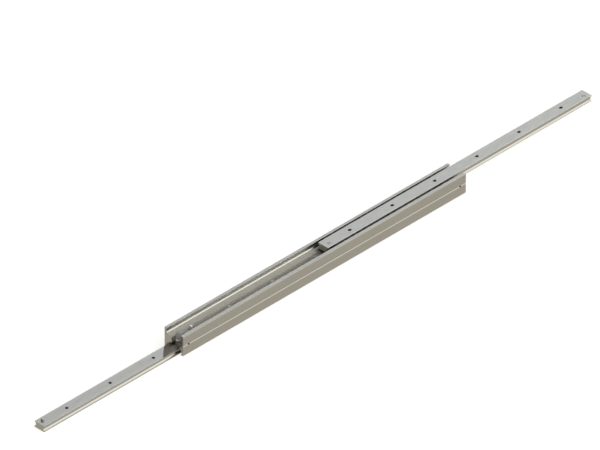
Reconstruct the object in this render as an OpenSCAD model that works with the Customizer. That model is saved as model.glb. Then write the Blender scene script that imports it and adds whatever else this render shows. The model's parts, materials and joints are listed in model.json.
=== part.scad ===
// Full-extension drawer slide: two C-shaped outer rails joined back to back make the
// intermediate member, and an inner rail runs on two rows of caged balls in each of them.
// The lower inner rail is fixed to the cabinet, the upper one to the drawer.
// Modelled fully extended. +X is the length, +Z points from the lower to the upper channel,
// and the origin is the centre of the whole slide. Each lower piece is the upper one
// reflected through the origin.

/* [Length] */
// Number of fixing holes in each inner rail
hole_count = 6; // [4:1:8]
// Distance between fixing holes, and between joining screws
hole_pitch = 80; // [70:5:100]
// Distance from an inner rail's end to its first fixing hole
inner_margin = 50; // [40:1:50]
// Distance from an outer rail's end to its first joining screw
outer_margin = 25; // [25:1:27]
// Length of inner rail that stays inside the outer rail when extended
held_len = 252; // [180:1:252]

/* [Outer rails] */
// Width of an outer rail
outer_w = 35; // [34:0.5:38]
// Height of one outer rail
outer_h = 15.5; // [15.3:0.1:16]
// Thickness of the web between the two side walls
web_t = 4.2; // [4:0.1:4.4]
// Thickness of the side wall behind the raceway
wall_t = 3.3; // [2.8:0.1:3.6]
// Thickness of the lips over the raceways, measured down the mouth
lip_t = 1.45; // [1.3:0.05:1.6]

/* [Inner rails] */
// Height of an inner rail
inner_h = 9.3; // [9.2:0.05:9.4]
// Distance that an inner rail stands proud of its outer rail
inner_proud = 0.9; // [0.7:0.1:1.1]
// Diameter of the fixing holes
hole_d = 4.5; // [4.2:0.1:5.5]

/* [Balls and cages] */
// Diameter of a ball
ball_d = 7.5; // [7.3:0.1:7.6]
// Distance between balls along a row
ball_pitch = 11; // [10:0.5:14]
// Thickness of the cage's sheet
cage_t = 0.8; // [0.6:0.1:0.8]

/* [Stops and fasteners] */
// Diameter of the stop pins in the inner rails
stop_pin_d = 5; // [4:0.5:5]
// Distance that a stop pin stands out of the inner rail's back
stop_pin_proud = 2.5; // [2:0.1:2.6]
// Length of a stop block along the rail
block_len = 10.3; // [9:0.1:10.3]
// Diameter of the cross pins that hold the stop blocks
cross_pin_d = 3; // [2:0.5:3]
// Thread diameter of the joining screws
join_d = 4; // [3:0.5:4]
// Head diameter of the joining screws
join_head_d = 7; // [6:0.1:7]

/* [Hidden] */
$fn = 48;

// Lengths
inner_len = 2 * inner_margin + (hole_count - 1) * hole_pitch;
outer_len = 2 * outer_margin + hole_count * hole_pitch;
outer_end = outer_len / 2;
inner_start = outer_end - held_len;      // near end of the upper inner rail, extended
inner_end = inner_start + inner_len;

// Rolling geometry, in the section of the upper slide
race_gap = 0.05;
race_r = ball_d / 2 + race_gap;
ball_y = outer_w / 2 - wall_t - race_r;
lip_overlap = 2.4;                       // from the raceway's axis to the inner face of the lips
mouth_y = ball_y + lip_overlap;
ball_z = outer_h - lip_t - sqrt(race_r * race_r - pow(mouth_y - ball_y, 2));
race_low_z = 2 * ball_z + lip_t - outer_h;
race_chamfer = 0.6;                      // below each raceway
foot_y = mouth_y - race_chamfer;         // outer edge of the channel's sloped floor
foot_rise = 2.3;
floor_y = 6.1;                           // half width of the flat middle of the floor
inner_narrower = 16.5;                   // than the outer rail
inner_w = outer_w - inner_narrower;
inner_top = outer_h + inner_proud;
inner_back = inner_top - inner_h;
edge_r = 1;                              // outer edges of the outer rails
joint_chamfer = 0.8;                     // edges where the outer rails meet
rail_chamfer = 0.4;                      // edges of the inner rails
hole_rim = 0.5;                          // chamfer on the fixing holes

// End slots and what sits in them
slot_w = 8;
slot_len = 18;
slot_gap = 0.1;
block_w = slot_w - 2 * slot_gap;
block_inset = 17.3;                      // from the outer rail's end to the block's inward face
block_x = outer_end - block_inset;
block_high = 9.3;                        // reach into the channel that a rail never enters
block_low = 6.7;                         // reach into the channel that a rail runs through
block_r = 4;
cross_pin_inset = 10.6;                  // from the outer rail's end
cross_pin_x = outer_end - cross_pin_inset;
cross_pin_len = 26;
cross_pin_seam = 0.4;

// Stops
stop_pin_inset = 9;                      // from the inner rail's end
stop_pin_y = -3;
stop_pin_tip = 0.4;                      // chamfer
stop_screw_inset = 31.5;                 // from the outer rail's end
stop_screw_x = outer_end - stop_screw_inset;
stop_screw_top = 8.9;
stop_head_d = 5.2;
stop_head_h = 1;
stop_shank_d = 4.2;
stop_web_left = 0.4;                     // web left below the thread
stop_screw_depth = web_t - stop_web_left;
stop_socket_af = 2.5;
stop_socket_h = 1.5;

// Joining screws
join_sink = 0.2;                         // head below the channel floor
join_head_h = (join_head_d - join_d) / 2;
join_socket_af = 2.5;
join_socket_h = 1.2;

// End plates
plate_t = 1.2;
plate_side_inset = 0.8;                  // from the outer rail's edges
plate_top_inset = 0.5;
plate_slot_inset = 0.3;
plate_edge_y = outer_w / 2 - plate_side_inset;
plate_inner_y = slot_w / 2 + plate_slot_inset;
plate_top = outer_h - plate_top_inset;
plate_corner_y = 10.6;                   // ends of the slanted lower corner
plate_corner_z = 1.5;
plate_screw_y = 11.5;
plate_screw_z = 2.6;
plate_screw_d = 2.5;
plate_screw_head_d = 4;
plate_screw_head_h = 1.3;
plate_screw_bore = 6;                    // depth of its bore in the outer rail
plate_screw_end_gap = 1;                 // from its tip to the end of the bore
plate_screw_recess_w = 0.6;
plate_screw_recess_len = 0.6 * plate_screw_head_d;

// Cages
cage_pin_gap = 0.5;                      // from the stop pin
cage_block_gap = 0.7;                    // from the stop block
cage_rail_gap = 0.4;                     // below the inner rail
cage_top_inset = 0.2;                    // below the lips
cage_start = inner_start + stop_pin_inset + stop_pin_d / 2 + cage_pin_gap;
cage_end = block_x - cage_block_gap;
cage_len = cage_end - cage_start;
cage_web_z = inner_back - cage_rail_gap - cage_t;
cage_top = outer_h - cage_top_inset;
cage_bend_r = 1.2;
pocket_gap = 0.1;
ball_end = 6;                            // least distance from a cage's end to a ball's centre
ball_count = floor((cage_len - 2 * ball_end) / ball_pitch) + 1;
ball_first = (cage_start + cage_end - (ball_count - 1) * ball_pitch) / 2;

steel = [0.70, 0.70, 0.69];
ball_steel = [0.84, 0.84, 0.85];
cage_steel = [0.30, 0.30, 0.29];
pin_steel = [0.62, 0.62, 0.61];
screw_steel = [0.78, 0.78, 0.79];
plate_steel = [0.33, 0.33, 0.32];
block_grey = [0.57, 0.58, 0.60];

// Reflects an upper piece through the origin, which gives the matching lower piece
module opposite() {
    mirror([1, 0, 0]) rotate([180, 0, 0]) children();
}

// Sweeps a section drawn in Y and Z along X
module along_x(from, to) {
    translate([from, 0, 0]) rotate([90, 0, 90]) linear_extrude(height = to - from) children();
}

// Both halves of a section drawn for positive Y
module both_sides() {
    children();
    mirror([1, 0]) children();
}

// ---- Outer rails ----

module outer_half_section() {
    y = outer_w / 2;
    difference() {
        union() {
            polygon([
                [0, 0], [y - joint_chamfer, 0], [y, joint_chamfer], [y, outer_h - edge_r],
                [y - edge_r, outer_h - edge_r], [y - edge_r, outer_h], [mouth_y, outer_h],
                [mouth_y, race_low_z], [foot_y, race_low_z - race_chamfer],
                [foot_y, web_t + foot_rise], [floor_y, web_t], [0, web_t]
            ]);
            translate([y - edge_r, outer_h - edge_r]) circle(r = edge_r);
        }
        translate([ball_y, ball_z]) circle(r = race_r, $fn = 64);
    }
}

module end_slots() {
    for (side = [-1, 1])
        translate([side * outer_end, 0, 0])
            cube([2 * slot_len, slot_w, 4 * outer_h], center = true);
}

module cross_pin_bores() {
    for (side = [-1, 1])
        translate([side * cross_pin_x, 0, 0])
            rotate([90, 0, 0]) cylinder(d = cross_pin_d, h = 2 * outer_w, center = true);
}

// One outer rail in the upper position, before the joining screws are drilled
module outer_rail_blank() {
    difference() {
        along_x(-outer_end, outer_end) both_sides() outer_half_section();
        end_slots();
        cross_pin_bores();
        translate([-stop_screw_x, 0, web_t - stop_screw_depth])
            cylinder(d = stop_shank_d, h = stop_screw_depth + 1);
        translate([-outer_end - 1, -plate_screw_y, plate_screw_z])
            rotate([0, 90, 0]) cylinder(d = plate_screw_d, h = plate_screw_bore + 1);
    }
}

module upper_outer_rail() {
    color(steel) difference() {
        outer_rail_blank();
        joining_screw_places() joining_screw_space();
    }
}

module lower_outer_rail() {
    color(steel) difference() {
        opposite() outer_rail_blank();
        joining_screw_places() joining_screw_space();
    }
}

// ---- Joining screws ----

module joining_screw_places() {
    for (i = [0 : hole_count])
        translate([-outer_end + outer_margin + i * hole_pitch, 0, web_t - join_sink]) children();
}

// Countersunk head and thread, from the top of the head down
module joining_screw_body() {
    translate([0, 0, -join_head_h]) cylinder(d1 = join_d, d2 = join_head_d, h = join_head_h);
    translate([0, 0, -2 * web_t + 2 * join_sink])
        cylinder(d = join_d, h = 2 * web_t - 2 * join_sink - join_head_h + 0.01);
}

module joining_screw_space() {
    joining_screw_body();
    cylinder(d = join_head_d, h = join_sink + 1);
}

module joining_screws() {
    color(screw_steel) joining_screw_places() difference() {
        joining_screw_body();
        translate([0, 0, -join_socket_h])
            cylinder(d = join_socket_af / cos(30), h = join_socket_h + 1, $fn = 6);
    }
}

// ---- Stop blocks and cross pins ----

// A block at the left end: tall and rounded in the upper channel, low in the lower one
module stop_block() {
    outer_x = -block_x - block_len;
    difference() {
        translate([0, block_w / 2, 0]) rotate([90, 0, 0]) linear_extrude(height = block_w) {
            translate([outer_x, -block_low]) square([block_len, block_low + block_high - block_r]);
            translate([outer_x + block_r, -block_low])
                square([block_len - block_r, block_low + block_high]);
            translate([outer_x + block_r, block_high - block_r]) circle(r = block_r, $fn = 64);
        }
        translate([-cross_pin_x, 0, 0])
            rotate([90, 0, 0]) cylinder(d = cross_pin_d, h = 2 * block_w, center = true);
    }
}

module left_stop_block() { color(block_grey) stop_block(); }

module right_stop_block() { color(block_grey) opposite() stop_block(); }

// A spring pin, rolled from sheet, with its open seam to one side
module cross_pin() {
    bore_d = cross_pin_d / 2;
    translate([-cross_pin_x, 0, 0]) rotate([90, 0, 0]) difference() {
        cylinder(d = cross_pin_d, h = cross_pin_len, center = true);
        cylinder(d = bore_d, h = cross_pin_len + 1, center = true);
        translate([cross_pin_d / 2, 0, 0])
            cube([cross_pin_d, cross_pin_seam, cross_pin_len + 1], center = true);
    }
}

module left_cross_pin() { color(pin_steel) cross_pin(); }

module right_cross_pin() { color(pin_steel) opposite() cross_pin(); }

// ---- Closing stop screws ----

// A cylinder-head screw in the left end of the upper channel
module closing_stop_screw() {
    translate([-stop_screw_x, 0, 0]) difference() {
        union() {
            translate([0, 0, web_t - stop_screw_depth])
                cylinder(d = stop_shank_d, h = stop_screw_top - web_t + stop_screw_depth);
            translate([0, 0, stop_screw_top - stop_head_h])
                cylinder(d = stop_head_d, h = stop_head_h);
        }
        translate([0, 0, stop_screw_top - stop_socket_h])
            cylinder(d = stop_socket_af / cos(30), h = stop_socket_h + 1, $fn = 6);
    }
}

module upper_closing_stop_screw() { color(screw_steel) closing_stop_screw(); }

module lower_closing_stop_screw() { color(screw_steel) opposite() closing_stop_screw(); }

// ---- End plates ----

// A flat plate on the left end, cut to the section of the near side wall and both webs
module end_plate() {
    translate([-outer_end - plate_t, 0, 0]) difference() {
        rotate([90, 0, 90]) linear_extrude(height = plate_t) mirror([1, 0]) difference() {
            polygon([
                [plate_inner_y, web_t], [floor_y, web_t], [foot_y, web_t + foot_rise],
                [foot_y, race_low_z - race_chamfer], [mouth_y, race_low_z],
                [mouth_y, plate_top], [plate_edge_y, plate_top],
                [plate_edge_y, plate_corner_z], [plate_corner_y, -web_t],
                [plate_inner_y, -web_t]
            ]);
            translate([ball_y, ball_z]) circle(r = race_r, $fn = 64);
        }
        translate([-1, -plate_screw_y, plate_screw_z])
            rotate([0, 90, 0]) cylinder(d = plate_screw_d, h = plate_t + 2);
    }
}

module left_end_plate() { color(plate_steel) end_plate(); }

module right_end_plate() { color(plate_steel) opposite() end_plate(); }

module end_plate_screw() {
    translate([-outer_end - plate_t, -plate_screw_y, plate_screw_z]) rotate([0, 90, 0])
        difference() {
            union() {
                translate([0, 0, -plate_screw_head_h])
                    cylinder(d = plate_screw_head_d, h = plate_screw_head_h);
                cylinder(d = plate_screw_d, h = plate_t + plate_screw_bore - plate_screw_end_gap);
            }
            for (turn = [0, 90])
                translate([0, 0, -plate_screw_head_h]) rotate(turn)
                    cube([plate_screw_recess_len, plate_screw_recess_w, plate_screw_head_h],
                        center = true);
        }
}

module left_end_plate_screw() { color(plate_steel) end_plate_screw(); }

module right_end_plate_screw() { color(plate_steel) opposite() end_plate_screw(); }

// ---- Inner rails ----

module inner_half_section() {
    y = inner_w / 2;
    difference() {
        polygon([
            [0, inner_back], [y, inner_back], [y, inner_top - rail_chamfer],
            [y - rail_chamfer, inner_top], [0, inner_top]
        ]);
        translate([ball_y, ball_z]) circle(r = race_r, $fn = 64);
    }
}

module stop_pin_place(end_x, inward) {
    translate([end_x + inward * stop_pin_inset, stop_pin_y, inner_back - stop_pin_proud])
        children();
}

module fixing_hole() {
    translate([0, 0, inner_back - 1]) cylinder(d = hole_d, h = inner_h + 2);
    translate([0, 0, inner_top - hole_rim])
        cylinder(d1 = hole_d, d2 = hole_d + 4 * hole_rim, h = 2 * hole_rim);
}

module inner_rail() {
    difference() {
        along_x(inner_start, inner_end) both_sides() inner_half_section();
        for (i = [0 : hole_count - 1])
            translate([inner_start + inner_margin + i * hole_pitch, 0, 0]) fixing_hole();
        stop_pin_place(inner_start, 1) cylinder(d = stop_pin_d, h = inner_h + stop_pin_proud + 1);
        stop_pin_place(inner_end, -1) cylinder(d = stop_pin_d, h = inner_h + stop_pin_proud + 1);
    }
}

module upper_inner_rail() { color(steel) inner_rail(); }

module lower_inner_rail() { color(steel) opposite() inner_rail(); }

// A dowel pressed in flush with the rail's front, with a chamfered tip
module stop_pin() {
    cylinder(d1 = stop_pin_d - 2 * stop_pin_tip, d2 = stop_pin_d, h = stop_pin_tip);
    translate([0, 0, stop_pin_tip])
        cylinder(d = stop_pin_d, h = inner_h + stop_pin_proud - stop_pin_tip);
}

module upper_rail_inner_stop_pin() {
    color(pin_steel) stop_pin_place(inner_start, 1) stop_pin();
}

module upper_rail_outer_stop_pin() {
    color(pin_steel) stop_pin_place(inner_end, -1) stop_pin();
}

module lower_rail_inner_stop_pin() {
    color(pin_steel) opposite() stop_pin_place(inner_start, 1) stop_pin();
}

module lower_rail_outer_stop_pin() {
    color(pin_steel) opposite() stop_pin_place(inner_end, -1) stop_pin();
}

// ---- Balls and cages ----

module ball_places() {
    for (i = [0 : ball_count - 1]) translate([ball_first + i * ball_pitch, 0, ball_z]) children();
}

module ball_row(side) {
    color(ball_steel) ball_places() translate([0, side * ball_y, 0]) sphere(d = ball_d);
}

module upper_balls_near() { ball_row(-1); }

module upper_balls_far() { ball_row(1); }

module lower_balls_near() { opposite() ball_row(1); }

module lower_balls_far() { opposite() ball_row(-1); }

// A channel of sheet metal, with a flange between the two raceways on each side
module cage_half_section() {
    y = ball_y + cage_t / 2;
    difference() {
        union() {
            translate([0, cage_web_z]) square([y - cage_bend_r, cage_t]);
            translate([y - cage_t, cage_web_z + cage_bend_r])
                square([cage_t, cage_top - cage_web_z - cage_bend_r]);
            intersection() {
                translate([y - cage_bend_r, cage_web_z + cage_bend_r]) circle(r = cage_bend_r);
                translate([y - cage_bend_r, cage_web_z]) square(cage_bend_r);
            }
        }
        translate([y - cage_bend_r, cage_web_z + cage_bend_r]) circle(r = cage_bend_r - cage_t);
    }
}

module ball_cage() {
    difference() {
        along_x(cage_start, cage_end) both_sides() cage_half_section();
        ball_places() rotate([90, 0, 0])
            cylinder(d = ball_d + 2 * pocket_gap, h = 2 * outer_w, center = true);
    }
}

module upper_ball_cage() { color(cage_steel) ball_cage(); }

module lower_ball_cage() { color(cage_steel) opposite() ball_cage(); }

lower_inner_rail();
lower_rail_outer_stop_pin();
lower_rail_inner_stop_pin();
lower_ball_cage();
lower_balls_near();
lower_balls_far();
lower_outer_rail();
upper_outer_rail();
joining_screws();
left_stop_block();
right_stop_block();
left_cross_pin();
right_cross_pin();
upper_closing_stop_screw();
lower_closing_stop_screw();
left_end_plate();
right_end_plate();
left_end_plate_screw();
right_end_plate_screw();
upper_ball_cage();
upper_balls_near();
upper_balls_far();
upper_inner_rail();
upper_rail_outer_stop_pin();
upper_rail_inner_stop_pin();
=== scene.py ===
"""Full-extension drawer slide: the looks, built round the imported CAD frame.

Lengths are in metres, and those of the small pieces are given in millimetres times MM. The rails,
blocks, cages, balls and plates are the CAD's own, with edges eased by modifiers. The screws, the
spring pins and the dowels are modelled here in full, each inside the box of the CAD node that it
stands for.
"""

import json
import math

import bmesh
import bpy
from mathutils import Matrix, Vector

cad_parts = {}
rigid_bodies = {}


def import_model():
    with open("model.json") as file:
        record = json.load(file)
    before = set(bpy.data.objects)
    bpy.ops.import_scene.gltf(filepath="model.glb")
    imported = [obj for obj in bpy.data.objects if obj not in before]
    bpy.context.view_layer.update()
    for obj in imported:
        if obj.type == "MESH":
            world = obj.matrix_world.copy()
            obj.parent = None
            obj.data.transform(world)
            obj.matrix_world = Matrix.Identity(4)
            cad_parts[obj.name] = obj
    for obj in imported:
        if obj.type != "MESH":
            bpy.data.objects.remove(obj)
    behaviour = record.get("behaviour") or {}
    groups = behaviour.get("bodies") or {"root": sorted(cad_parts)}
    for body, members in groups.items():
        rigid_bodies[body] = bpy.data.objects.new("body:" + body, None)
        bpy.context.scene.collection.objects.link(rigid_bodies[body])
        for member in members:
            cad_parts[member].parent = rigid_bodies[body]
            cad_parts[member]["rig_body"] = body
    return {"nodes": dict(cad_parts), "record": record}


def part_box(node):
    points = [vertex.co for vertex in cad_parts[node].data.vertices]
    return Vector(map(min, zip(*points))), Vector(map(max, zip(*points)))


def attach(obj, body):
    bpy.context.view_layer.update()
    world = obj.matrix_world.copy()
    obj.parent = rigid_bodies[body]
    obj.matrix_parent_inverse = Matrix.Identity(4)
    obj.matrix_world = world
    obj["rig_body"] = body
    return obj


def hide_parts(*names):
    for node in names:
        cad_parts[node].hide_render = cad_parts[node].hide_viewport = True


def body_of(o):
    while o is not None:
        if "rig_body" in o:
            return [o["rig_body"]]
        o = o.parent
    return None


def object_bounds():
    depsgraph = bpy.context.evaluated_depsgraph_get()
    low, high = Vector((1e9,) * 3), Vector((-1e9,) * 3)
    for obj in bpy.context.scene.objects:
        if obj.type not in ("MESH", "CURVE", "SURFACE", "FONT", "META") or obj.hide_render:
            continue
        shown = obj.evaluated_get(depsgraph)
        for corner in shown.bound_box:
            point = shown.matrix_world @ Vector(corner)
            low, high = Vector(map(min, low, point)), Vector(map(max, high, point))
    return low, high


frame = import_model()
CAD_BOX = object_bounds()
NODES = frame["nodes"]
MM = 0.001

# Camera: equal angles to all three axes, from so far away that parallel edges stay parallel
VIEW_BACK = Vector((-1, -1, 1)).normalized()
LENS = 1250
SENSOR = 36
FRAME_WIDTH = 0.795
AIM_RIGHT = -0.0212
AIM_UP = 0.0453

# Key light
KEY_AZIMUTH = math.radians(42)  # from +X towards +Y
KEY_ELEVATION = math.radians(28)
KEY_STRENGTH = 0.144
KEY_ANGLE = math.radians(2.5)
KEY_COLOR = (0.95, 1.0, 1.05)

# Surroundings, as the polished steel sees them. A spread gives the cosines at which a light ends
# and is full.
GROUND_COLOR = (0.467, 0.44, 0.372)
SKY_COLOR = (0.11, 0.105, 0.09)
HORIZON = (-0.22, -0.02)  # heights where the ground ends and the sky is full
SOFTBOX_AT = (1, -1, 1)
SOFTBOX_SPREAD = (0.63, 0.98)
SOFTBOX_COLOR = (1.12, 1.10, 1.02)
FILL_AT = (-1, -0.9, 0.3)
FILL_SPREAD = (0.45, 0.95)
FILL_COLOR = (0.50, 0.48, 0.43)

FLOOR_SIZE = 12
FLOOR_GAP = 0.02 * MM
FLOOR_COLOR = (0.9, 0.9, 0.89)
FLOOR_GLOW = 0.75

# Raceways, seen along X: the distances of their axes from the middle plane and from the joint
RACE_Y = 10.4 * MM
RACE_Z = 11.1 * MM
RACE_R = 3.8 * MM
RACE_FADE = (0.05 * MM, 0.6 * MM)  # past that radius, where the polish starts to fade and ends

# Painted shade on steel: how near its neighbours a surface is when it starts to darken, and the
# colour kept there
RECESS = 7 * MM
RECESS_OPENNESS = (0.12, 0.66)
RECESS_KEPT = 0.26

# Change of the steel's roughness along its ground lines, and brightness of its worn edges
GRIND_ROUGHNESS = 0.05
WEAR_POINTINESS = (0.52, 0.60)
WEAR_BRIGHTNESS = 1.12

# Grain of the moulded plastic
MOULD_ROUGHNESS = 0.06
MOULD_BUMP = 0.25

NOISE_MIDDLE = (0.3, 0.7)  # the middle part of a noise texture, where most of it lies


# ---- Stage ----


def make_camera():
    right = Vector((1, -1, 0)).normalized()
    up = VIEW_BACK.cross(right)
    target = right * AIM_RIGHT + up * AIM_UP
    distance = FRAME_WIDTH * LENS / SENSOR
    data = bpy.data.cameras.new("camera")
    data.lens = LENS
    data.sensor_width = SENSOR
    data.clip_start = 0.1
    data.clip_end = 4 * distance
    camera = bpy.data.objects.new("camera", data)
    camera.location = target + VIEW_BACK * distance
    camera.rotation_mode = "QUATERNION"
    camera.rotation_quaternion = (-VIEW_BACK).to_track_quat("-Z", "Y")
    bpy.context.scene.collection.objects.link(camera)
    bpy.context.scene.camera = camera


def make_key_light():
    data = bpy.data.lights.new("key", "SUN")
    data.energy = KEY_STRENGTH
    data.angle = KEY_ANGLE
    data.color = KEY_COLOR
    light = bpy.data.objects.new("key", data)
    flat = math.cos(KEY_ELEVATION)
    height = math.sin(KEY_ELEVATION)
    towards = Vector((flat * math.cos(KEY_AZIMUTH), flat * math.sin(KEY_AZIMUTH), height))
    light.rotation_mode = "QUATERNION"
    light.rotation_quaternion = towards.to_track_quat("Z", "Y")
    bpy.context.scene.collection.objects.link(light)


def remap(nodes, links, value, low, high, to_low=0.0, to_high=1.0, smooth=True):
    """to_low where value is below low, to_high where it is above high, and a ramp between."""
    node = nodes.new("ShaderNodeMapRange")
    node.interpolation_type = "SMOOTHSTEP" if smooth else "LINEAR"
    node.inputs["From Min"].default_value = low
    node.inputs["From Max"].default_value = high
    node.inputs["To Min"].default_value = to_low
    node.inputs["To Max"].default_value = to_high
    links.new(value, node.inputs["Value"])
    return node.outputs["Result"]


def math_node(nodes, links, operation, a, b=None):
    node = nodes.new("ShaderNodeMath")
    node.operation = operation
    for socket, value in zip(node.inputs, (a, b)):
        if isinstance(value, bpy.types.NodeSocket):
            links.new(value, socket)
        elif value is not None:
            socket.default_value = value
    return node.outputs[0]


def blend_colors(nodes, links, factor, low, high):
    node = nodes.new("ShaderNodeMix")
    node.data_type = "RGBA"
    links.new(factor, node.inputs["Factor"])
    for socket, value in (("A", low), ("B", high)):
        if isinstance(value, bpy.types.NodeSocket):
            links.new(value, node.inputs[socket])
        else:
            node.inputs[socket].default_value = [*value, 1]
    return node.outputs["Result"]


def lobe(nodes, links, direction, towards, spread):
    """1 in a cone round a direction, fading to 0."""
    node = nodes.new("ShaderNodeVectorMath")
    node.operation = "DOT_PRODUCT"
    links.new(direction, node.inputs[0])
    node.inputs[1].default_value = Vector(towards).normalized()
    return remap(nodes, links, node.outputs["Value"], *spread)


def make_world():
    """A dark studio over a warm floor, with one wide softbox and a faint one behind the camera."""
    world = bpy.data.worlds.new("studio")
    bpy.context.scene.world = world
    world.use_nodes = True
    nodes, links = world.node_tree.nodes, world.node_tree.links
    nodes.clear()
    direction = nodes.new("ShaderNodeTexCoord").outputs["Generated"]
    split = nodes.new("ShaderNodeSeparateXYZ")
    links.new(direction, split.inputs[0])
    fill = lobe(nodes, links, direction, FILL_AT, FILL_SPREAD)
    sky = blend_colors(nodes, links, fill, SKY_COLOR, FILL_COLOR)
    box = lobe(nodes, links, direction, SOFTBOX_AT, SOFTBOX_SPREAD)
    sky = blend_colors(nodes, links, box, sky, SOFTBOX_COLOR)
    above = remap(nodes, links, split.outputs["Z"], *HORIZON)
    studio = nodes.new("ShaderNodeBackground")
    links.new(blend_colors(nodes, links, above, GROUND_COLOR, sky), studio.inputs["Color"])
    white = nodes.new("ShaderNodeBackground")
    white.inputs["Color"].default_value = (1, 1, 1, 1)
    path = nodes.new("ShaderNodeLightPath")
    mix = nodes.new("ShaderNodeMixShader")
    links.new(path.outputs["Is Camera Ray"], mix.inputs["Fac"])
    links.new(studio.outputs[0], mix.inputs[1])
    links.new(white.outputs[0], mix.inputs[2])
    out = nodes.new("ShaderNodeOutputWorld")
    links.new(mix.outputs[0], out.inputs["Surface"])


def make_floor():
    z = CAD_BOX[0].z - FLOOR_GAP
    half = FLOOR_SIZE / 2
    corners = [(-half, -half, z), (half, -half, z), (half, half, z), (-half, half, z)]
    mesh = bpy.data.meshes.new("floor")
    mesh.from_pydata(corners, [], [(0, 1, 2, 3)])
    floor = bpy.data.objects.new("floor", mesh)
    bpy.context.scene.collection.objects.link(floor)
    material = bpy.data.materials.new("floor")
    material.use_nodes = True
    shader = material.node_tree.nodes["Principled BSDF"]
    shader.inputs["Base Color"].default_value = (*FLOOR_COLOR, 1)
    shader.inputs["Roughness"].default_value = 0.9
    shader.inputs["Specular IOR Level"].default_value = 0
    shader.inputs["Emission Color"].default_value = (1, 1, 1, 1)
    shader.inputs["Emission Strength"].default_value = FLOOR_GLOW
    mesh.materials.append(material)
    floor.visible_glossy = False
    floor.visible_diffuse = False


# ---- Materials ----


def blank_material(name):
    material = bpy.data.materials.new(name)
    material.use_nodes = True
    nodes, links = material.node_tree.nodes, material.node_tree.links
    coords = nodes.new("ShaderNodeTexCoord").outputs["Object"]
    return material, nodes, links, nodes["Principled BSDF"], coords


def noise(nodes, links, coords, scale, detail=3.0, stretch=(1, 1, 1)):
    mapping = nodes.new("ShaderNodeMapping")
    mapping.inputs["Scale"].default_value = stretch
    links.new(coords, mapping.inputs["Vector"])
    node = nodes.new("ShaderNodeTexNoise")
    node.inputs["Scale"].default_value = scale
    node.inputs["Detail"].default_value = detail
    links.new(mapping.outputs[0], node.inputs["Vector"])
    return node.outputs["Fac"]


def edge_wear(nodes, links):
    """1 along convex edges and 0 elsewhere."""
    geometry = nodes.new("ShaderNodeNewGeometry")
    return remap(nodes, links, geometry.outputs["Pointiness"], *WEAR_POINTINESS)


def race_polish(nodes, links, coords):
    """1 in the four raceways that the balls have rolled bright, and 0 elsewhere."""
    split = nodes.new("ShaderNodeSeparateXYZ")
    links.new(coords, split.inputs[0])
    squares = []
    for axis, race in (("Y", RACE_Y), ("Z", RACE_Z)):
        distance = math_node(nodes, links, "ABSOLUTE", split.outputs[axis])
        past = math_node(nodes, links, "SUBTRACT", distance, race)
        squares.append(math_node(nodes, links, "MULTIPLY", past, past))
    radius = math_node(nodes, links, "SQRT", math_node(nodes, links, "ADD", *squares))
    fade = [RACE_R + past for past in RACE_FADE]
    return remap(nodes, links, radius, *fade, 1.0, 0.0)


def recess_shade(nodes, links, color, depth):
    """The colour, darkened where the surface lies within depth of others: painted shade in
    recesses, gaps and corners.
    """
    hidden = nodes.new("ShaderNodeAmbientOcclusion")
    hidden.samples = 8
    hidden.inputs["Distance"].default_value = depth
    openness = hidden.outputs["AO"]
    kept = remap(nodes, links, openness, *RECESS_OPENNESS, RECESS_KEPT, 1.0, smooth=False)
    painted_shade = nodes.new("ShaderNodeMix")
    painted_shade.data_type = "RGBA"
    painted_shade.blend_type = "MULTIPLY"
    painted_shade.inputs["Factor"].default_value = 1.0
    links.new(color, painted_shade.inputs["A"])
    links.new(kept, painted_shade.inputs["B"])
    return painted_shade.outputs["Result"]


def add_bump(nodes, links, shader, height, strength, distance):
    bump = nodes.new("ShaderNodeBump")
    bump.inputs["Strength"].default_value = strength
    bump.inputs["Distance"].default_value = distance
    links.new(height, bump.inputs["Height"])
    links.new(bump.outputs["Normal"], shader.inputs["Normal"])


def steel(name, color, roughness, grain, tone=0.03, polish=None, painted_shade=True):
    """Ground and plated steel: fine lines along X, a slow drift of tone, and edges brightened by
    wear.

    tone is the drift's size, polish the roughness in the raceways, and the last argument darkens
    recesses with painted shade.
    """
    material, nodes, links, shader, coords = blank_material(name)
    shader.inputs["Metallic"].default_value = 1.0
    lines = noise(nodes, links, coords, 1.0, detail=4.0, stretch=(60, 5200, 5200))
    drift = noise(nodes, links, coords, 22.0)
    low = [c * (1 - tone) for c in color]
    high = [c * (1 + tone) for c in color]
    tinted = blend_colors(nodes, links, drift, low, high)
    bright = [c * WEAR_BRIGHTNESS for c in color]
    surface_color = blend_colors(nodes, links, edge_wear(nodes, links), tinted, bright)
    # Painted shade: the colour is darkened in recesses, gaps and corners, where shade falls
    if painted_shade:
        surface_color = recess_shade(nodes, links, surface_color, RECESS)
    links.new(surface_color, shader.inputs["Base Color"])

    limits = (roughness - GRIND_ROUGHNESS, roughness + GRIND_ROUGHNESS)
    rough = remap(nodes, links, lines, *NOISE_MIDDLE, *limits)
    if polish is not None:
        node = nodes.new("ShaderNodeMix")
        node.data_type = "FLOAT"
        links.new(race_polish(nodes, links, coords), node.inputs["Factor"])
        links.new(rough, node.inputs["A"])
        node.inputs["B"].default_value = polish
        rough = node.outputs["Result"]
    links.new(rough, shader.inputs["Roughness"])

    add_bump(nodes, links, shader, lines, grain, 0.01 * MM)
    return material


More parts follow.
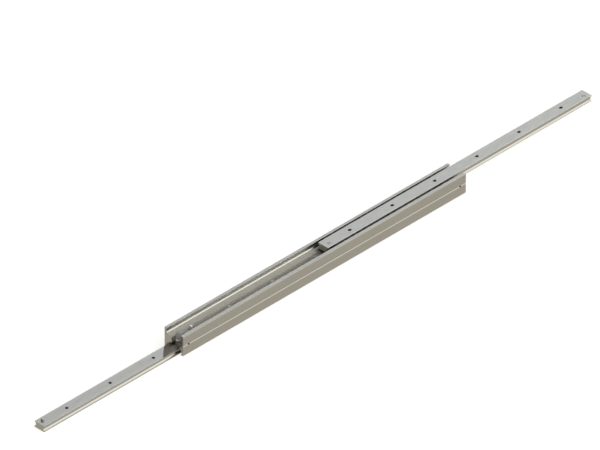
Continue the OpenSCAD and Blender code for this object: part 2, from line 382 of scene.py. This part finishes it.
def plastic(name, color, roughness):
    """Moulded nylon with a fine spark-eroded grain."""
    material, nodes, links, shader, coords = blank_material(name)
    grain = noise(nodes, links, coords, 3200.0, detail=2.0)
    drift = noise(nodes, links, coords, 260.0)
    dark, pale, mid = ([c * share for c in color] for share in (0.95, 1.05, 1.03))
    speckle = blend_colors(nodes, links, grain, dark, pale)
    links.new(blend_colors(nodes, links, drift, speckle, mid), shader.inputs["Base Color"])
    limits = (roughness - MOULD_ROUGHNESS, roughness + MOULD_ROUGHNESS)
    links.new(remap(nodes, links, grain, *NOISE_MIDDLE, *limits), shader.inputs["Roughness"])
    add_bump(nodes, links, shader, grain, MOULD_BUMP, 0.02 * MM)
    return material


MATERIALS = {
    "outer_rail_steel": steel("outer_rail_steel", (0.70, 0.69, 0.66), 0.42, 0.35, polish=0.22),
    "inner_rail_steel": steel("inner_rail_steel", (0.70, 0.69, 0.66), 0.40, 0.35, polish=0.22),
    "ball_steel": steel("ball_steel", (0.62, 0.62, 0.61), 0.12, 0.0, tone=0.01),
    # The cages are coloured near black so that the gaps beside the inner rails read dark: painted
    # shade
    "cage_steel": steel("cage_steel", (0.16, 0.155, 0.145), 0.42, 0.3),
    "pin_steel": steel("pin_steel", (0.62, 0.61, 0.59), 0.32, 0.2, painted_shade=False),
    "screw_steel": steel("screw_steel", (0.90, 0.90, 0.89), 0.36, 0.1, painted_shade=False),
    "end_plate_steel": steel("end_plate_steel", (0.40, 0.395, 0.385), 0.46, 0.3),
    "stop_block": plastic("stop_block", (0.68, 0.70, 0.73), 0.45),
}


# ---- CAD nodes that stay ----

# Width of the eased edges for each material slot
EASED = {
    "outer_rail_steel": 0.22 * MM,
    "inner_rail_steel": 0.16 * MM,
    "cage_steel": 0.12 * MM,
    "end_plate_steel": 0.18 * MM,
    "stop_block": 0.45 * MM,
}
WELD = 0.004 * MM
FLAT_ANGLE = math.radians(0.3)
SHARP_ANGLE = math.radians(30)


def weld_points(node):
    """Joins the CAD's separate faces."""
    node.modifiers.new("weld", "WELD").merge_threshold = WELD


def ease_edges(node, width):
    """Rounds the sharp edges, and keeps the flats flat."""
    flats = node.modifiers.new("flats", "DECIMATE")
    flats.decimate_type = "DISSOLVE"
    flats.angle_limit = FLAT_ANGLE
    bevel = node.modifiers.new("ease", "BEVEL")
    bevel.width = width
    bevel.segments = 2
    bevel.limit_method = "ANGLE"
    bevel.angle_limit = SHARP_ANGLE
    bevel.use_clamp_overlap = True
    normals = node.modifiers.new("normals", "WEIGHTED_NORMAL")
    normals.keep_sharp = True


def dress_nodes():
    """Gives each CAD node the material of its slot, and eases its edges."""
    for part in frame["record"]["subparts"]:
        node = NODES[part["node"]]
        slot = part["material_slot"]
        node.data.materials.clear()
        node.data.materials.append(MATERIALS[slot])
        weld_points(node)
        if slot in EASED:
            ease_edges(node, EASED[slot])


# ---- Turned pieces ----

SEGMENTS = 48
ROWS_PER_TURN = 6


def ring(radius, z):
    """A loop of points round the Z axis. The radius is a number, or depends on the step round."""
    points = []
    for step in range(SEGMENTS):
        turn = 2 * math.pi * step / SEGMENTS
        r = radius(step) if callable(radius) else radius
        points.append(Vector((r * math.cos(turn), r * math.sin(turn), z)))
    return points


def hexagon(across_flats):
    side = SEGMENTS // 6

    def radius(step):
        turn = 2 * math.pi * (step % side) / SEGMENTS - math.pi / 6
        return across_flats / 2 / math.cos(turn)

    return radius


def cross(length, width):
    """The outline of a crosshead recess."""
    quarter = SEGMENTS // 4

    def radius(step):
        past = min(step % quarter, quarter - step % quarter)
        turn = 2 * math.pi * past / SEGMENTS
        return min(length / 2 / math.cos(turn), width / 2 / max(math.sin(turn), 1e-6))

    return radius


def knurl(radius, depth):
    return lambda step: radius - depth * (step % 2)


def thread(radius, depth, pitch, start, end):
    """Rings for a helical thread from start down to end, which runs out at both ends."""
    rows = round((start - end) / pitch * ROWS_PER_TURN)
    rings = []
    for row in range(rows + 1):
        z = start + (end - start) * row / rows
        fade = min(1.0, (start - z) / pitch, (z - end) / pitch)

        def radius_at(step, z=z, fade=fade):
            phase = (z / pitch + step / SEGMENTS) % 1
            return radius - depth * fade * (1 - abs(2 * phase - 1))

        rings.append(ring(radius_at, z))
    return rings


def skin(mesh, rings):
    """Closes a stack of rings into one solid."""
    loops = [[mesh.verts.new(point) for point in points] for points in rings]
    for upper, lower in zip(loops, loops[1:]):
        for i in range(len(upper)):
            j = (i + 1) % len(upper)
            mesh.faces.new((upper[i], upper[j], lower[j], lower[i]))
    mesh.faces.new(loops[0])
    mesh.faces.new(loops[-1])


def facing(point, axis):
    """Puts a piece's origin at point and turns its Z to axis."""
    return Matrix.Translation(point) @ axis.to_track_quat("Z", "Y").to_matrix().to_4x4()


def add_piece(name, node, places, build, smooth_angle=35):
    """One piece in place of a CAD node, built once for each of the matrices in places."""
    mesh = bmesh.new()
    for place in places:
        single = bmesh.new()
        build(single)
        single.transform(place)
        data = bpy.data.meshes.new("single")
        single.to_mesh(data)
        mesh.from_mesh(data)
        single.free()
        bpy.data.meshes.remove(data)
    bmesh.ops.recalc_face_normals(mesh, faces=mesh.faces)
    for face in mesh.faces:
        face.smooth = True
    for edge in mesh.edges:
        edge.smooth = edge.calc_face_angle(0) < math.radians(smooth_angle)
    data = bpy.data.meshes.new(name)
    mesh.to_mesh(data)
    mesh.free()
    piece = bpy.data.objects.new(name, data)
    bpy.context.scene.collection.objects.link(piece)
    part = next(p for p in frame["record"]["subparts"] if p["node"] == node)
    data.materials.append(MATERIALS[part["material_slot"]])
    piece.modifiers.new("normals", "WEIGHTED_NORMAL").keep_sharp = True
    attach(piece, body_of(NODES[node])[0])
    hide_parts(node)
    return piece


def joining_screw(mesh):
    """M4 countersunk screw with a hex socket, from the face of its head down to its tip."""
    socket = hexagon(2.5 * MM)
    skin(mesh, [
        ring(0.3 * MM, -1.5 * MM),
        ring(1.0 * MM, -1.3 * MM),
        ring(socket, -1.2 * MM),
        ring(socket, -0.15 * MM),
        ring(hexagon(2.75 * MM), 0),
        ring(3.3 * MM, 0),
        ring(3.5 * MM, -0.08 * MM),
        ring(3.46 * MM, -0.2 * MM),
        ring(2.0 * MM, -1.55 * MM),
        *thread(1.98 * MM, 0.28 * MM, 0.7 * MM, -1.6 * MM, -7.4 * MM),
        ring(1.5 * MM, -7.98 * MM),
    ])


def closing_stop_screw(mesh):
    """M4 screw with a low knurled head and a plain neck above its thread."""
    socket = hexagon(1.5 * MM)
    skin(mesh, [
        ring(0.2 * MM, -1.65 * MM),
        ring(0.6 * MM, -1.6 * MM),
        ring(socket, -1.5 * MM),
        ring(socket, -0.1 * MM),
        ring(hexagon(1.65 * MM), 0),
        ring(2.45 * MM, 0),
        ring(2.55 * MM, -0.04 * MM),
        ring(2.59 * MM, -0.12 * MM),
        ring(knurl(2.6 * MM, 0.06 * MM), -0.22 * MM),
        ring(knurl(2.6 * MM, 0.06 * MM), -0.9 * MM),
        ring(2.5 * MM, -1.0 * MM),
        ring(2.2 * MM, -1.0 * MM),
        ring(2.1 * MM, -1.1 * MM),
        ring(2.1 * MM, -4.6 * MM),
        *thread(2.08 * MM, 0.28 * MM, 0.7 * MM, -4.65 * MM, -7.9 * MM),
        ring(1.6 * MM, -8.48 * MM),
    ])


def plate_screw(mesh):
    """M2.5 pan-head screw with a cross recess. Z is 0 under the head."""
    skin(mesh, [
        ring(cross(1.1 * MM, 0.3 * MM), 0.45 * MM),
        ring(cross(2.2 * MM, 0.55 * MM), 1.15 * MM),
        ring(cross(2.5 * MM, 0.75 * MM), 1.27 * MM),
        ring(1.35 * MM, 1.24 * MM),
        ring(1.66 * MM, 1.08 * MM),
        ring(1.88 * MM, 0.8 * MM),
        ring(1.98 * MM, 0.45 * MM),
        ring(2.0 * MM, 0.1 * MM),
        ring(1.94 * MM, 0.01 * MM),
        ring(1.25 * MM, 0.01 * MM),
        ring(1.24 * MM, -0.3 * MM),
        *thread(1.24 * MM, 0.18 * MM, 0.45 * MM, -0.35 * MM, -5.7 * MM),
        ring(0.9 * MM, -6.18 * MM),
    ])


def stop_dowel(mesh):
    """5 mm hardened dowel. Z is 0 at its flush face, which has a centre dimple from turning."""
    skin(mesh, [
        ring(0.15 * MM, -0.25 * MM),
        ring(0.5 * MM, -0.04 * MM),
        ring(0.62 * MM, -0.01 * MM),
        ring(2.15 * MM, -0.01 * MM),
        ring(2.36 * MM, -0.1 * MM),
        ring(2.48 * MM, -0.35 * MM),
        ring(2.49 * MM, -0.6 * MM),
        ring(2.49 * MM, -11.0 * MM),
        ring(2.47 * MM, -11.4 * MM),
        ring(2.05 * MM, -11.78 * MM),
    ])


def spring_pin(mesh):
    """3 mm pin rolled from strip, with an open seam and tapered ends. Z runs through its middle."""
    steps = 40
    seam_half = 0.2
    seam_angle = math.asin(seam_half / 1.5)
    half = 13 * MM

    def section(outer, inner, z):
        sweep = 2 * math.pi - 2 * seam_angle
        turns = [seam_angle + sweep * i / steps for i in range(steps + 1)]
        around = [(outer, t) for t in turns] + [(inner, t) for t in reversed(turns)]
        return [Vector((r * math.cos(t), r * math.sin(t), z)) for r, t in around]

    sizes = [(1.22, 0.82, -half), (1.4, 0.76, -half + 0.35 * MM), (1.49, 0.75, -half + 0.9 * MM)]
    sizes += [(outer, inner, -z) for outer, inner, z in reversed(sizes)]
    loops = [[mesh.verts.new(p) for p in section(o * MM, i * MM, z)] for o, i, z in sizes]
    count = len(loops[0])
    for lower, upper in zip(loops, loops[1:]):
        for i in range(count):
            j = (i + 1) % count
            mesh.faces.new((lower[i], lower[j], upper[j], upper[i]))
    for loop in (loops[0], loops[-1]):
        for i in range(steps):
            mesh.faces.new((loop[i], loop[i + 1], loop[count - 2 - i], loop[count - 1 - i]))


def middle(node):
    low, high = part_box(node)
    return (low + high) / 2


def make_joining_screws():
    low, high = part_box("joining_screws")
    head_r = 3.5 * MM
    first = low.x + head_r
    run = high.x - head_r - first
    count = round(run / (80 * MM)) + 1
    pitch = run / (count - 1)
    heads = [Vector((first + i * pitch, 0, high.z)) for i in range(count)]
    places = [facing(head, Vector((0, 0, 1))) for head in heads]
    add_piece("countersunk_joining_screws", "joining_screws", places, joining_screw)


def make_closing_stop_screws():
    for side, up in (("upper", 1), ("lower", -1)):
        node = f"{side}_closing_stop_screw"
        low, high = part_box(node)
        top = high.z if up > 0 else low.z
        place = facing(Vector((middle(node).x, middle(node).y, top)), Vector((0, 0, up)))
        add_piece(f"{side}_socket_stop_screw", node, [place], closing_stop_screw)


def make_plate_screws():
    for side, out in (("left", -1), ("right", 1)):
        node = f"{side}_end_plate_screw"
        plate_low, plate_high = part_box(f"{side}_end_plate")
        face = plate_low.x if out < 0 else plate_high.x
        place = facing(Vector((face, middle(node).y, middle(node).z)), Vector((out, 0, 0)))
        add_piece(f"{side}_pan_head_screw", node, [place], plate_screw, smooth_angle=40)


def make_stop_dowels():
    for rail, out in (("upper", 1), ("lower", -1)):
        for end in ("inner", "outer"):
            node = f"{rail}_rail_{end}_stop_pin"
            low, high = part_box(node)
            flush = high.z if out > 0 else low.z
            place = facing(Vector((middle(node).x, middle(node).y, flush)), Vector((0, 0, out)))
            add_piece(f"{rail}_rail_{end}_dowel", node, [place], stop_dowel)


def make_spring_pins():
    """The seam faces the middle of the slide."""
    for side, seam_turn in (("left", 0), ("right", math.pi)):
        node = f"{side}_cross_pin"
        lying = Matrix.Rotation(seam_turn, 4, "Z") @ Matrix.Rotation(math.pi / 2, 4, "X")
        place = Matrix.Translation(middle(node)) @ lying
        add_piece(f"{side}_spring_pin", node, [place], spring_pin, smooth_angle=40)


make_camera()
make_key_light()
make_world()
make_floor()
dress_nodes()
make_joining_screws()
make_closing_stop_screws()
make_plate_screws()
make_stop_dowels()
make_spring_pins()
bpy.context.scene.view_settings.view_transform = "Standard"
